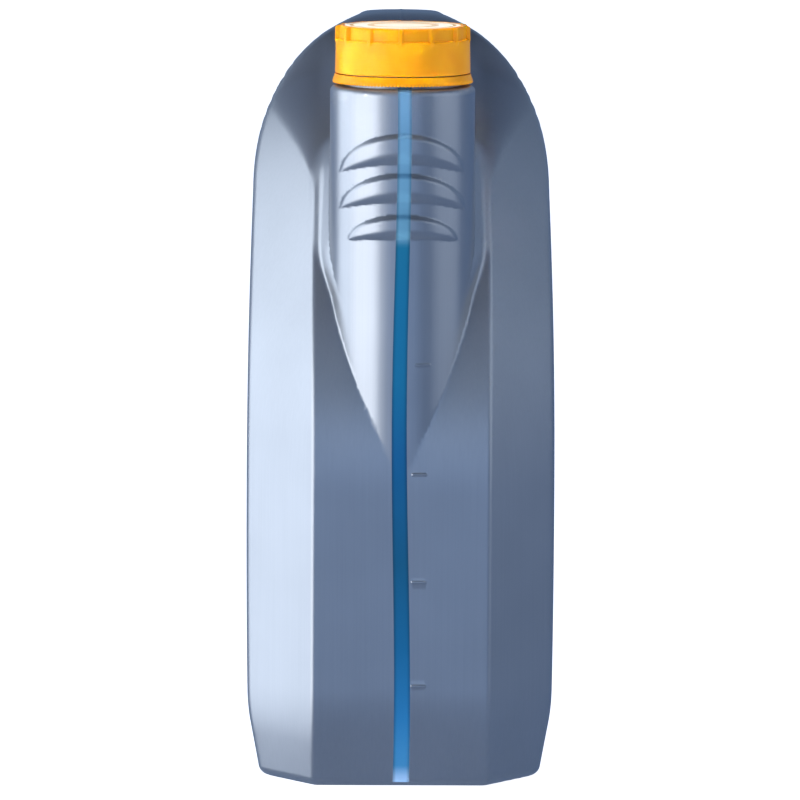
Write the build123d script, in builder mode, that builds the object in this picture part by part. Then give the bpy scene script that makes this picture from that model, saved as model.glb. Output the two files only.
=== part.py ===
"""A five-litre motor oil bottle: a blown jug with a hollow handle, its fill, labels and screw cap."""

from build123d import *
from math import atan2, cos, hypot, radians, sin, tan
import os

os.makedirs("parts", exist_ok=True)

# All sizes are in millimetres. X is the width, the pouring side faces -Y, and Z is up.

NEAR = 0.1  # edges this close to a plane are picked as lying on it
OVERRUN = 1.1  # cutting shapes are longer than they have to be by this share

# The jug's body
WIDTH = 130.0  # at the widest, a third of the way up
HEIGHT = 317.0  # to the crest of the hood
FRONT = -93.0  # the flat front face
REAR = 95.0
WALL = 1.3
FACE_HALF_WIDTH = 37.0  # of the front face, between its two creases
CHAMFER_RUN = (28.0, 36.0)  # how far each front chamfer goes across and back
REAR_CORNER = 20.0
WIDEST_AT = 113.0
ARCH_HALF_WIDTH = 63.0  # where the arched top springs from the sides
ARCH_BASE = 244.0
PLAN_MARGIN = 1.0  # the plan's straight sides lie this far outside the bowed ones
BEVEL_TOP = 29.0  # the lowest part of the body narrows towards the base
BASE_HALF_WIDTH = 58.7
BASE_ROUND = 3.0
CREASE_ROUND = 2.5
BEVEL_RUN = 5.7
HOOD_START = 126.0  # where the front face begins to lean back
HOOD_LOWER_RADIUS = 150.0
HOOD_BEND = 30.0  # degrees that the lower arc turns before the flatter upper arc takes over
HOOD_REAR_RADIUS = 45.0  # the round from the hood's crest to the rear wall
BASE_RECESS = 2.0
BASE_RECESS_SIZE = (84.0, 146.0)
BASE_RECESS_CORNER = 26.0

# The handle
GRIP_HALF_WIDTH = 21.0
HOLE_CENTRE = (45.0, 249.0)
HOLE_SIZE = (80.0, 34.0)
POCKET_FRONT = 14.0
POCKET_FLOOR = 206.0
POCKET_LEAN = (30.0, 46.0)  # its front edge leans back by this much towards the crest
POCKET_CORNERS = (30.0, 40.0)
POCKET_SLOPE = 22.0  # degrees that its walls open outwards
POCKET_ROUND = 8.0
GRIP_ROUND = 4.0
HOLE_ROUND = 7.0

# The pouring column, which the cap stands on
COLUMN_RADIUS = 30.3
COLUMN_SINK = 0.15  # how far the column's front lies behind the front face
COLUMN_Y = FRONT + COLUMN_SINK + COLUMN_RADIUS
COLUMN_TOP = 293.0
COLUMN_LIP = 2.5
COLUMN_FOOT = 100.0

# The gills, from the top one down: half width, then the heights of the tips, the crown and the middle
# of the lower edge
GILLS = [
    (26.4, 257.3, 272.9, 261.2),
    (26.4, 242.2, 256.6, 245.3),
    (23.1, 229.6, 239.9, 230.2),
]
GILL_RISE = 2.15

# Level marks, one at each litre
LITRE_MARKS = [43.5, 87.3, 132.5, 178.4]
MARK_SIZE = (6.6, 1.2)
MARK_START = 4.2
TOP_MARK_SHIFT = 1.3
MARK_RISE = 0.4
OIL_LEVEL = 230.0
OIL_GAP = 0.1

# Neck finish and closure
NECK_RADIUS = 24.4
NECK_BORE = 21.8
NECK_TOP = 314.5
BEAD_RADIUS = 26.1
BEAD_HEIGHT = (298.4, 300.2)
THREAD_LEAD = 12.0  # how far the cap rises in a turn
THREAD_STARTS = 2
THREAD_DEPTH = 1.5
THREAD_WIDTH = 2.0
THREAD_START = 302.4
NECK_THREAD_TURNS = 0.75
CAP_THREAD_TURNS = 0.6
THREAD_ROOT = 0.2  # how far a ridge is sunk in its wall
CAP_RADIUS = 28.3
CAP_TOP = 318.0
CAP_FOOT = 298.2
CAP_INSIDE = 26.5
CAP_PLATE = 1.9
CAP_DRAFT = 0.3
CAP_EDGE = 1.0
PANEL_FOOT = 312.4  # the recessed panels between the ribs reach down to here
PANEL_DEPTH = 1.0
RIBS = 13
RIB_WIDTH = 1.8
RIB_RISE = 0.45
RIB_TAIL = 2.2
RIB_ROOT = 0.8  # how far a rib is sunk in the panel's wall
RIB_PHASE = -92.3  # degrees from +X to the rib nearest the front
LABEL_RADIUS = 24.2
LABEL_SEAT = 0.35
LABEL_GAP = 0.3  # round the cap's label
LABEL_THICKNESS = 0.25
LINER_RADIUS = 26.2
LINER_THICKNESS = 1.4
BAND_RADIUS = 29.3
BAND_BORE = 24.8
BAND_HEIGHT = (294.0, 297.8)
BAND_WALL = 1.5
BAND_TAPER = 0.4  # how much the band narrows towards its top
BAND_RIM = 1.0  # height of the straight part at its foot
BAND_FLAP = (1.2, 2.0)  # how far under its top the catching flap's edges lie
BAND_FLAP_RUN = 1.6
CLEAR = 0.05

# Labels on the two wide faces
SIDE_LABEL = (100.0, 118.0)
SIDE_LABEL_CENTRE = (8.0, 110.0)
SIDE_LABEL_CORNER = 8.0
SIDE_LABEL_THICKNESS = 0.2
SIDE_PANEL_DEPTH = 0.4
SIDE_PANEL_RIM = 1.5

# The hood's front leaves the front face upright on one arc, goes on along a flatter one, and meets the
# rear round at a tangent.
crest_y = REAR - HOOD_REAR_RADIUS
crest_z = HEIGHT - HOOD_REAR_RADIUS
bend_across, bend_up = cos(radians(HOOD_BEND)), sin(radians(HOOD_BEND))
reach = crest_y - FRONT - HOOD_LOWER_RADIUS * (1 - bend_across)
rise = crest_z - HOOD_START - HOOD_LOWER_RADIUS * bend_up
hood_upper_radius = (reach**2 + rise**2 - HOOD_REAR_RADIUS**2) / (
    2 * (reach * bend_across - rise * bend_up - HOOD_REAR_RADIUS)
)
chamfer_turn = atan2(CHAMFER_RUN[1], CHAMFER_RUN[0])

# The sides bow out by a shallow arc that is upright at the widest height.
side_bow = WIDTH / 2 - ARCH_HALF_WIDTH
bow_share = (WIDEST_AT - BEVEL_TOP) / (ARCH_BASE - WIDEST_AT)
bevel_half_width = WIDTH / 2 - side_bow * bow_share**2


def side_outline(plane, inset):
    """The body's outline seen from the side, as a face on the plane given."""
    forward, bend = Vector(-1, 0), Vector(-bend_across, bend_up)
    lower_centre = Vector(FRONT + HOOD_LOWER_RADIUS, HOOD_START)
    upper_centre = lower_centre - bend * (hood_upper_radius - HOOD_LOWER_RADIUS)
    rear_centre = Vector(crest_y, crest_z)
    meeting = (rear_centre - upper_centre).normalized()
    arcs = [
        (lower_centre, HOOD_LOWER_RADIUS - inset, forward, bend),
        (upper_centre, hood_upper_radius - inset, bend, meeting),
        (rear_centre, HOOD_REAR_RADIUS - inset, meeting, Vector(1, 0)),
    ]
    front, rear = FRONT + inset, REAR - inset
    with BuildSketch(plane) as outline:
        with BuildLine():
            Polyline(
                (rear, crest_z),
                (rear, BEVEL_TOP),
                (rear - BEVEL_RUN, inset),
                (front + BEVEL_RUN, inset),
                (front, BEVEL_TOP),
                (front, HOOD_START),
            )
            for centre, radius, start, end in arcs:
                middle = (start + end).normalized()
                ThreePointArc(*[centre + direction * radius for direction in (start, middle, end)])
        make_face()
    return outline.sketch


def front_outline(inset):
    """The right half of the body's outline seen from the front, as a face."""
    with BuildSketch(Plane.XZ) as outline:
        with BuildLine():
            Polyline(
                (0, HEIGHT - inset),
                (0, inset),
                (BASE_HALF_WIDTH - inset, inset),
                (bevel_half_width - inset, BEVEL_TOP),
            )
            ThreePointArc(
                (bevel_half_width - inset, BEVEL_TOP),
                (WIDTH / 2 - inset, WIDEST_AT),
                (ARCH_HALF_WIDTH - inset, ARCH_BASE),
            )
            EllipticalCenterArc(
                (0, ARCH_BASE),
                ARCH_HALF_WIDTH - inset,
                HEIGHT - ARCH_BASE - inset,
                start_angle=0,
                arc_size=90,
            )
        make_face()
    return outline.sketch


def body_form(inset):
    """The body without its column, as a closed form that lies inset inside the outer skin."""
    crease = FACE_HALF_WIDTH - inset * tan(chamfer_turn / 2)
    run_across, run_back = CHAMFER_RUN
    with BuildPart() as form:
        extrude(side_outline(Plane.YZ, inset), amount=crease)
        extrude(
            side_outline(Plane.YZ.offset(crease), inset),
            amount=OVERRUN * hypot(run_across, run_back),
            dir=(run_across, run_back, 0),
        )
        extrude(side_outline(Plane.YZ, inset), amount=WIDTH, mode=Mode.INTERSECT)
        extrude(front_outline(inset), amount=WIDTH, both=True, mode=Mode.INTERSECT)
        with BuildSketch(Plane.XY) as plan:
            with Locations((0, (FRONT + REAR) / 2)):
                Rectangle(WIDTH + 2 * (PLAN_MARGIN - inset), REAR - FRONT - 2 * inset)
            fillet(plan.vertices().group_by(Axis.Y)[-1], REAR_CORNER - inset)
        extrude(amount=HEIGHT, mode=Mode.INTERSECT)
        mirror(about=Plane.YZ)
        creases = form.edges().filter_by_position(Axis.X, -crease - NEAR, crease + NEAR)
        creases = creases.filter_by(lambda edge: abs(abs(edge.center().X) - crease) < NEAR)
        fillet(creases, CREASE_ROUND)
        fillet(form.edges().group_by(Axis.Z)[0], BASE_ROUND)
        with BuildSketch(Plane.XY):
            RectangleRounded(
                BASE_RECESS_SIZE[0] + 2 * inset,
                BASE_RECESS_SIZE[1] + 2 * inset,
                BASE_RECESS_CORNER + inset,
            )
        extrude(amount=BASE_RECESS + inset, mode=Mode.SUBTRACT)
    return form.part


def is_on_grip(edge, grow, around_hole):
    """Whether an edge lies on a wide face of the grip: round the finger hole, or along the rear wall."""
    centre = edge.center()
    on_face = abs(abs(centre.X) - GRIP_HALF_WIDTH + grow) < NEAR
    hole_y, hole_z = HOLE_CENTRE
    hole_length, hole_width = HOLE_SIZE
    near_hole = (
        abs(centre.Y - hole_y) < hole_width / 2 + GRIP_ROUND
        and abs(centre.Z - hole_z) < hole_length / 2 + GRIP_ROUND
    )
    on_rear = centre.Y > REAR - GRIP_ROUND / 2
    return on_face and (near_hole if around_hole else on_rear)


def handle_form(grow):
    """The air around the handle: a pocket in each wide face and the finger hole between them."""
    lean_back, lean_up = POCKET_LEAN
    hole_length, hole_width = HOLE_SIZE
    with BuildPart() as form:
        with BuildSketch(Plane.YZ.offset(GRIP_HALF_WIDTH - grow)) as outline:
            with BuildLine():
                Polyline(
                    (2 * REAR, POCKET_FLOOR),
                    (POCKET_FRONT, POCKET_FLOOR),
                    (POCKET_FRONT, HEIGHT - lean_up),
                    (POCKET_FRONT + 2 * lean_back, HEIGHT + lean_up),
                    (2 * REAR, HEIGHT + lean_up),
                    close=True,
                )
            make_face()
            lower_corner, upper_corner = outline.vertices().group_by(Axis.X)[0].sort_by(Axis.Y)
            fillet(lower_corner, POCKET_CORNERS[0])
            fillet(upper_corner, POCKET_CORNERS[1])
            offset(amount=grow)
        extrude(amount=WIDTH / 2, taper=-POCKET_SLOPE)
        fillet(form.edges().group_by(Axis.X)[0], POCKET_ROUND + grow)
        mirror(about=Plane.YZ)
        with BuildSketch(Plane.YZ):
            with Locations(HOLE_CENTRE):
                SlotOverall(hole_length + 2 * grow, hole_width + 2 * grow, rotation=90)
        extrude(amount=WIDTH / 2, both=True)
        hole_mouths = form.edges().filter_by(lambda edge: is_on_grip(edge, grow, True))
        fillet(hole_mouths, HOLE_ROUND - grow)
    return form.part


def jug_form(inset):
    """The body with its handle, as a closed form that lies inset inside the outer skin."""
    with BuildPart() as form:
        add(body_form(inset))
        add(handle_form(inset), mode=Mode.SUBTRACT)
        grip_edges = form.edges().filter_by(lambda edge: is_on_grip(edge, inset, False))
        fillet(grip_edges, GRIP_ROUND - inset)
    return form.part


def column_form(bottom, top, radius):
    """A round bar on the column's axis."""
    with BuildPart() as form:
        with BuildSketch(Plane.XY.offset(bottom)):
            with Locations((0, COLUMN_Y)):
                Circle(radius)
        extrude(amount=top - bottom)
    return form.part


def thread_form(radius, depth, start, turns):
    """One thread ridge round the Z axis, on a wall of that radius; depth is negative on the inside of a wall."""
    root = -THREAD_ROOT if depth > 0 else THREAD_ROOT
    with BuildPart() as form:
        with BuildLine() as route:
            Helix(pitch=THREAD_LEAD, height=THREAD_LEAD * turns, radius=radius, center=(0, 0, start))
        with BuildSketch(Plane(route.line @ 0, x_dir=(1, 0, 0), z_dir=route.line % 0)):
            with BuildLine():
                Polyline(
                    (root, -THREAD_WIDTH / 2),
                    (depth, -THREAD_WIDTH / 4),
                    (depth, THREAD_WIDTH / 4),
                    (root, THREAD_WIDTH / 2),
                    close=True,
                )
            make_face()
        sweep(path=route.line, is_frenet=True)
    return form.part


def side_panel(size_change, outer_inset, inner_inset):
    """A layer of both wide faces inside the label's outline, between two depths below the skin."""
    with BuildPart() as form:
        with BuildSketch(Plane.YZ):
            with Locations(SIDE_LABEL_CENTRE):
                RectangleRounded(
                    SIDE_LABEL[0] + size_change,
                    SIDE_LABEL[1] + size_change,
                    SIDE_LABEL_CORNER + size_change / 2,
                )
        extrude(amount=WIDTH, both=True)
        if outer_inset:
            add(body_form(outer_inset), mode=Mode.INTERSECT)
        add(body_form(inner_inset), mode=Mode.SUBTRACT)
    return form.part


# The cavity is the space inside the wall, up through the column to the mouth.
with BuildPart() as cavity:
    add(jug_form(WALL))
    add(column_form(COLUMN_FOOT, COLUMN_TOP - WALL, COLUMN_RADIUS - WALL))
    add(column_form(COLUMN_FOOT, HEIGHT, NECK_BORE))

# The gills are three crescent pads that wrap the front of the column.
with BuildPart() as gills:
    with BuildSketch(Plane.XZ.offset(-COLUMN_Y)):
        for half_width, tip, crown, lower_edge in GILLS:
            with BuildLine():
                ThreePointArc((-half_width, tip), (0, crown), (half_width, tip))
                ThreePointArc((half_width, tip), (0, lower_edge), (-half_width, tip))
            make_face()
    extrude(amount=2 * COLUMN_RADIUS)
    with BuildSketch(Plane.XY):
        with Locations((0, COLUMN_Y)):
            Ellipse(COLUMN_RADIUS, COLUMN_RADIUS + GILL_RISE)
    extrude(amount=HEIGHT, mode=Mode.INTERSECT)

# The highest level mark lies on the column's round front, the others on the flat face.
mark_length, mark_height = MARK_SIZE
mark_x = MARK_START + mark_length / 2
with BuildPart() as top_mark:
    with BuildSketch(Plane.XZ.offset(-COLUMN_Y)):
        with Locations((mark_x + TOP_MARK_SHIFT, LITRE_MARKS[-1])):
            SlotOverall(mark_length, mark_height)
    extrude(amount=2 * COLUMN_RADIUS)
    add(column_form(0, HEIGHT, COLUMN_RADIUS + MARK_RISE), mode=Mode.INTERSECT)

with BuildPart() as bottle:
    add(jug_form(0))
    add(side_panel(2 * SIDE_PANEL_RIM, 0, SIDE_PANEL_DEPTH), mode=Mode.SUBTRACT)
    add(column_form(COLUMN_FOOT, COLUMN_TOP, COLUMN_RADIUS))
    rim = bottle.edges().filter_by(GeomType.CIRCLE).filter_by_position(
        Axis.Z, COLUMN_TOP - NEAR, COLUMN_TOP + NEAR
    )
    fillet(rim, COLUMN_LIP)
    add(gills.part)
    add(top_mark.part)
    with BuildSketch(Plane.XZ.offset(-FRONT - MARK_RISE)):
        with Locations([(mark_x, height) for height in LITRE_MARKS[:-1]]):
            SlotOverall(mark_length, mark_height)
    extrude(amount=2 * MARK_RISE)
    add(column_form(COLUMN_TOP - WALL, NECK_TOP, NECK_RADIUS))
    add(column_form(*BEAD_HEIGHT, BEAD_RADIUS))
    with Locations((0, COLUMN_Y, 0)), PolarLocations(0, THREAD_STARTS):
        add(thread_form(NECK_RADIUS, THREAD_DEPTH, THREAD_START, NECK_THREAD_TURNS))
    add(cavity.part, mode=Mode.SUBTRACT)
bottle.part.label = "bottle"
export_step(bottle.part, "parts/bottle.step")

with BuildPart() as oil:
    add(jug_form(WALL + OIL_GAP))
    add(column_form(COLUMN_FOOT, COLUMN_TOP - WALL - OIL_GAP, COLUMN_RADIUS - WALL - OIL_GAP))
    split(bisect_by=Plane.XY.offset(OIL_LEVEL), keep=Keep.BOTTOM)
oil.part.label = "oil"
export_step(oil.part, "parts/oil.step")

column_axis = Axis((0, COLUMN_Y, 0), (0, 0, 1))
axis_section = Plane.XZ.offset(-COLUMN_Y)

# The tamper band hangs loose round the neck, held down by the bead.
band_foot, band_top = BAND_HEIGHT
with BuildPart() as tamper_band:
    with BuildSketch(axis_section):
        with BuildLine():
            Polyline(
                (BAND_BORE, band_top - BAND_FLAP[0]),
                (BAND_BORE + BAND_FLAP_RUN, band_top),
                (BAND_RADIUS - BAND_TAPER, band_top),
                (BAND_RADIUS, band_foot + BAND_RIM),
                (BAND_RADIUS, band_foot),
                (BAND_RADIUS - BAND_WALL, band_foot),
                (BAND_BORE, band_top - BAND_FLAP[1]),
                close=True,
            )
        make_face()
    revolve(axis=column_axis)
tamper_band.part.label = "tamper_band"
export_step(tamper_band.part, "parts/tamper_band.step")

with BuildPart() as cap_liner:
    add(column_form(NECK_TOP + CLEAR, NECK_TOP + CLEAR + LINER_THICKNESS, LINER_RADIUS))
cap_liner.part.label = "cap_liner"
export_step(cap_liner.part, "parts/cap_liner.step")

# One grip rib, standing along +X from the axis: a fin whose tail runs out on the smooth skirt.
panel_radius = CAP_RADIUS - CAP_DRAFT - PANEL_DEPTH
with BuildPart() as rib:
    with BuildSketch(Plane.XZ):
        with BuildLine():
            Polyline(
                (panel_radius - RIB_ROOT, CAP_TOP - CAP_EDGE),
                (CAP_RADIUS - CAP_DRAFT, CAP_TOP - CAP_EDGE),
                (CAP_RADIUS + RIB_RISE - CAP_DRAFT, CAP_TOP - 1.5 * CAP_EDGE),
                (CAP_RADIUS + RIB_RISE - CAP_DRAFT, PANEL_FOOT),
                (CAP_RADIUS - CAP_DRAFT, PANEL_FOOT - RIB_TAIL),
                (panel_radius - RIB_ROOT, PANEL_FOOT - RIB_TAIL),
                close=True,
            )
        make_face()
    extrude(amount=RIB_WIDTH / 2, both=True)

# The cap's two ridges run midway between the neck's.
cap_thread_start = THREAD_START + THREAD_LEAD / THREAD_STARTS / 2
with BuildPart() as cap:
    with BuildSketch(axis_section):
        with BuildLine():
            Polyline(
                (CAP_INSIDE, CAP_FOOT),
                (CAP_RADIUS, CAP_FOOT),
                (CAP_RADIUS - CAP_DRAFT, PANEL_FOOT),
                (panel_radius, PANEL_FOOT),
                (panel_radius, CAP_TOP - CAP_EDGE),
                (panel_radius - CAP_EDGE, CAP_TOP),
                (LABEL_RADIUS + LABEL_GAP, CAP_TOP),
                (LABEL_RADIUS + LABEL_GAP, CAP_TOP - LABEL_SEAT),
                (0, CAP_TOP - LABEL_SEAT),
                (0, CAP_TOP - CAP_PLATE),
                (CAP_INSIDE, CAP_TOP - CAP_PLATE),
                close=True,
            )
        make_face()
    revolve(axis=column_axis)
    with Locations((0, COLUMN_Y, 0)), PolarLocations(0, RIBS, start_angle=RIB_PHASE):
        add(rib.part)
    with Locations((0, COLUMN_Y, 0)), PolarLocations(0, THREAD_STARTS):
        add(thread_form(CAP_INSIDE, -THREAD_DEPTH, cap_thread_start, CAP_THREAD_TURNS))
cap.part.label = "cap"
export_step(cap.part, "parts/cap.step")

label_floor = CAP_TOP - LABEL_SEAT
with BuildPart() as cap_label:
    add(column_form(label_floor, label_floor + LABEL_THICKNESS, LABEL_RADIUS))
cap_label.part.label = "cap_label"
export_step(cap_label.part, "parts/cap_label.step")

# Both side labels lie on the floor of their shallow panels.
labels = side_panel(0, SIDE_PANEL_DEPTH - SIDE_LABEL_THICKNESS, SIDE_PANEL_DEPTH)
for name, label in zip(("side_label_left", "side_label_right"), labels.solids().sort_by(Axis.X)):
    label.label = name
    export_step(label, f"parts/{name}.step")
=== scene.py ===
"""A five-litre motor oil bottle, standing on a white floor under soft light."""

from math import cos, pi, radians, sin

import bpy
import numpy as np
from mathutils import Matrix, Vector


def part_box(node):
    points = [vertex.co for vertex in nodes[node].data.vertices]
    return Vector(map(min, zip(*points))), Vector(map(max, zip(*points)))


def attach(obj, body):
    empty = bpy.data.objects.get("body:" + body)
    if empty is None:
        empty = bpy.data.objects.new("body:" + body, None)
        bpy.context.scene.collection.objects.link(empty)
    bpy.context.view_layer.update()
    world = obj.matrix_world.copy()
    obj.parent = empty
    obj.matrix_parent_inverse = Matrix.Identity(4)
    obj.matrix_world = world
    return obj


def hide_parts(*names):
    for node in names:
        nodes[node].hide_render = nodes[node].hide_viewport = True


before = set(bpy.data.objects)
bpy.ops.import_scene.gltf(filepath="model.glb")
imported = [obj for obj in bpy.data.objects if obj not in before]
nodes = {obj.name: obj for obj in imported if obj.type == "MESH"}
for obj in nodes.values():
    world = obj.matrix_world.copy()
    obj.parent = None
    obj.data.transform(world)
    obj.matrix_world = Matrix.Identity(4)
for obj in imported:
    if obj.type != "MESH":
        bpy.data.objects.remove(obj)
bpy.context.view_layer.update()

# ---------------------------------------------------------------------------------------------------
# The studio. A white floor and a white wall all round shine evenly by themselves. Long soft lights stand
# close on the left, dimmer ones on the right and in front, and two narrow beams reach the cap.
# ---------------------------------------------------------------------------------------------------


def linear(colour):
    """A colour given as sRGB hex, as the linear values that shaders use."""
    steps = [int(colour[at : at + 2], 16) / 255 for at in (0, 2, 4)]
    return tuple(s / 12.92 if s <= 0.04045 else ((s + 0.055) / 1.055) ** 2.4 for s in steps)


def add_node(tree, kind, settings=None, stops=(), **links):
    """One shader node. Settings are its properties, stops are its ramp's places and colours, and links
    give its sockets a value or another socket, by the socket's name or its number."""
    node = tree.nodes.new(kind)
    for name, value in (settings or {}).items():
        setattr(node, name, value)
    for name, value in links.items():
        numbered = name[:2] == "in" and name[2:].isdigit()
        socket = node.inputs[int(name[2:]) if numbered else name.replace("_", " ")]
        if isinstance(value, bpy.types.NodeSocket):
            tree.links.new(value, socket)
        elif isinstance(value, str):
            socket.default_value = (*linear(value), 1)
        else:
            socket.default_value = value
    while len(stops) > 2 and len(node.color_ramp.elements) < len(stops):
        node.color_ramp.elements.new(0.5)
    for index, (position, colour) in enumerate(stops):
        node.color_ramp.elements[index].position = position
        node.color_ramp.elements[index].color = (*linear(colour), 1)
    return node


def new_material(name):
    """An empty material, with its node tree and its surface shader."""
    material = bpy.data.materials.new(name)
    material.use_nodes = True
    tree = material.node_tree
    return material, tree, tree.nodes["Principled BSDF"]


STUDIO_RADIUS = 9.0
STUDIO_STEP = 5  # degrees between two corners of the round floor
PAINT_SHINE = 1.0


def stage_mesh(name, points, faces):
    """A piece of the studio in satin white paint, evenly lit from inside its own surface."""
    mesh = bpy.data.meshes.new(name)
    mesh.from_pydata(points, [], faces)
    piece = bpy.data.objects.new(name, mesh)
    bpy.context.scene.collection.objects.link(piece)
    paint, tree, shader = new_material(name + "_paint")
    shader.inputs["Base Color"].default_value = (*linear("E8EEF4"), 1)
    shader.inputs["Roughness"].default_value = 0.25
    shader.inputs["Emission Color"].default_value = (*linear("FFFFFF"), 1)
    shader.inputs["Emission Strength"].default_value = PAINT_SHINE
    mesh.materials.append(paint)
    piece.visible_glossy = False
    return piece


turns = [radians(degrees) for degrees in range(0, 360, STUDIO_STEP)]
rim = [(STUDIO_RADIUS * cos(turn), STUDIO_RADIUS * sin(turn), 0) for turn in turns]
stage_mesh("white_floor", rim, [tuple(range(len(rim)))])
wall_top = [(x, y, STUDIO_RADIUS) for x, y, z in rim]
after = [(n + 1) % len(rim) for n in range(len(rim))]
wall_faces = [(n, len(rim) + n, len(rim) + after[n], after[n]) for n in range(len(rim))]
backdrop = stage_mesh("white_backdrop", rim + wall_top, wall_faces)
backdrop.visible_diffuse = False
backdrop.visible_transmission = False
backdrop.visible_shadow = False


def soft_light(name, place, target, size, power, colour):
    """A rectangular soft light at a place, facing a target."""
    light = bpy.data.lights.new(name, "AREA")
    light.shape = "RECTANGLE"
    light.size, light.size_y = size
    light.energy = power
    light.color = linear(colour)
    lamp = bpy.data.objects.new(name, light)
    lamp.location = place
    lamp.rotation_euler = (Vector(target) - Vector(place)).to_track_quat("-Z", "Y").to_euler()
    bpy.context.scene.collection.objects.link(lamp)
    return lamp


# Each light's place, target and size are in metres, and its power is in watts.
soft_light("key_softbox", (-1.0, -0.72, 0.2), (0, -0.7, 0.2), (1.16, 1.0), 10.2, "F8FBFF")
soft_light("rear_softbox", (-1.0, 0.21, 0.34), (0, 0.21, 0.34), (0.66, 1.2), 5.8, "EEF6FF")
soft_light("corner_softbox", (-1.4, -2.0, 0.2), (0, 0, 0.15), (1.3, 1.0), 2.8, "F4F8FF")
soft_light("fill_softbox", (1.2, -0.35, 0.5), (0, 0, 0.2), (1.2, 1.2), 2.6, "E8F0FA")
soft_light("front_fill", (0.1, -2.6, 0.32), (0, 0, 0.15), (2.4, 1.3), 5.3, "B4D2FF")

# The snoot lights the cap's label from above and the kicker lights the cap's left side. Both are narrow,
# and neither is mirrored in the jug.
SNOOT_SPREAD, KICKER_SPREAD = radians(8), radians(4)
snoot = soft_light("snoot", (0, -0.0626, 0.9), (0, -0.0625, 0.3), (0.085, 0.085), 0.024, "FFF6EA")
snoot.data.spread = SNOOT_SPREAD
snoot.visible_glossy = False
kicker = soft_light("kicker", (-0.8, -1.0, 0.33), (-0.004, -0.07, 0.311), (0.04, 0.04), 0.008, "FFF2D8")
kicker.data.spread = KICKER_SPREAD
kicker.visible_glossy = False

# The room beyond is dim and blue, lightest from just over the horizon to halfway up, and nearly black
# overhead.
ROOM_STOPS = [
    (0.0, "3F6699"), (0.12, "728DB4"), (0.55, "7188A8"), (0.81, "52658A"), (0.9, "202A3C"), (1.0, "141B28"),
]
world = bpy.data.worlds.new("dim_room")
world.use_nodes = True
tree = world.node_tree
direction = add_node(tree, "ShaderNodeTexCoord")
parts = add_node(tree, "ShaderNodeSeparateXYZ", Vector=direction.outputs["Generated"])
heights = add_node(tree, "ShaderNodeValToRGB", stops=ROOM_STOPS, Fac=parts.outputs["Z"])
tree.links.new(heights.outputs["Color"], tree.nodes["Background"].inputs["Color"])
bpy.context.scene.world = world
bpy.context.scene.view_settings.view_transform = "Standard"

# The camera looks down a little from far off through a long lens. Its small roll and turn stand for a
# bottle that isn't set down quite square.
LENS, SENSOR_WIDTH, CLIP_END = 359.5, 36.0, 20
LOOK_DOWN, ROLL, TURN = 6.72, -0.28, -0.389  # in degrees
SHIFT_UP = 0.008
camera_data = bpy.data.cameras.new("camera")
camera_data.lens = LENS
camera_data.sensor_width = SENSOR_WIDTH
camera_data.clip_end = CLIP_END
camera_data.shift_y = SHIFT_UP
camera = bpy.data.objects.new("camera", camera_data)
camera.location = (-0.025, -3.393, 0.55)
camera.rotation_euler = (radians(90 - LOOK_DOWN), radians(ROLL), radians(TURN))
bpy.context.scene.collection.objects.link(camera)
bpy.context.scene.camera = camera

# ---------------------------------------------------------------------------------------------------
# The jug. It is blown in one piece from blue-grey pearlescent polyethylene: a flat front between two
# chamfers, an arched hood, a round pouring column that sinks into the front, and a hollow rear grip.
# ---------------------------------------------------------------------------------------------------

MM = 0.001
half_width, rear, _ = np.array(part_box("bottle")[1]) / MM
column_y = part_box("cap")[0][1] / MM / 2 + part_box("cap")[1][1] / MM / 2
oil_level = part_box("oil")[1][2] / MM

FRONT = -93.0  # the flat front face
HEIGHT = 317.6  # of the hood's crest, before its edges are eased
FACE_HALF_WIDTH = 37.0  # the flat front, between its chamfers
CHAMFER_SLOPE = 36.0 / 28.0  # how far a chamfer goes back for each millimetre across
HOOD_START = 126.0  # the front begins to lean back here
LOWER_RADIUS = 150.0  # the first arc of the hood
BEND = radians(30)  # how far the first arc turns
REAR_ROUND = 45.0  # from the hood's crest to the rear wall
CORNER_ROUND = 20.0  # the upright corners at the rear
WIDEST_AT = 113.0
ARCH_BASE = 244.0  # the sides turn into the arch here
ARCH_HALF_WIDTH = 63.0
ARCH_RISE = 73.9
ARCH_POWER = 2.1  # the arch is a little squarer than an ellipse
BEVEL_TOP = 29.0  # the lowest part draws in from here down
BEVEL_RUN = 5.7
BASE_HALF_WIDTH = 58.7
BASE_ROUND = 4.0

crest_y, crest_z = rear - REAR_ROUND, HEIGHT - REAR_ROUND
bend_y, bend_z = FRONT + LOWER_RADIUS * (1 - cos(BEND)), HOOD_START + LOWER_RADIUS * sin(BEND)
reach, rise = crest_y - bend_y, crest_z - bend_z
ahead = reach * cos(BEND) - rise * sin(BEND) - REAR_ROUND
upper_radius = (reach**2 + rise**2 - REAR_ROUND**2) / (2 * ahead)
lower_y = FRONT + LOWER_RADIUS
upper_y, upper_z = bend_y + upper_radius * cos(BEND), bend_z - upper_radius * sin(BEND)
side_bow = half_width - ARCH_HALF_WIDTH
side_radius = (ARCH_BASE - WIDEST_AT) ** 2 / (2 * side_bow)
bevel_half_width = half_width - (WIDEST_AT - BEVEL_TOP) ** 2 / (2 * side_radius)


def ramp(start, end, value):
    """0 up to start and 1 from end on, with a smooth rise between them."""
    share = np.clip((value - start) / (end - start), 0, 1)
    return share * share * (3 - 2 * share)


def meet(a, b, ease):
    """The space inside both fields, with the edge between them eased over a width."""
    share = np.clip(0.5 + 0.5 * (a - b) / ease, 0, 1)
    return b + (a - b) * share + ease * share * (1 - share)


def meet_round(a, b, radius):
    """The space inside both fields, with the corner between them rounded to a radius."""
    return np.minimum(np.maximum(a, b), -radius) + np.hypot(
        np.maximum(a + radius, 0), np.maximum(b + radius, 0)
    )


BEVEL_EASE = 2.4  # of the edge where the lowest part begins to draw in


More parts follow.
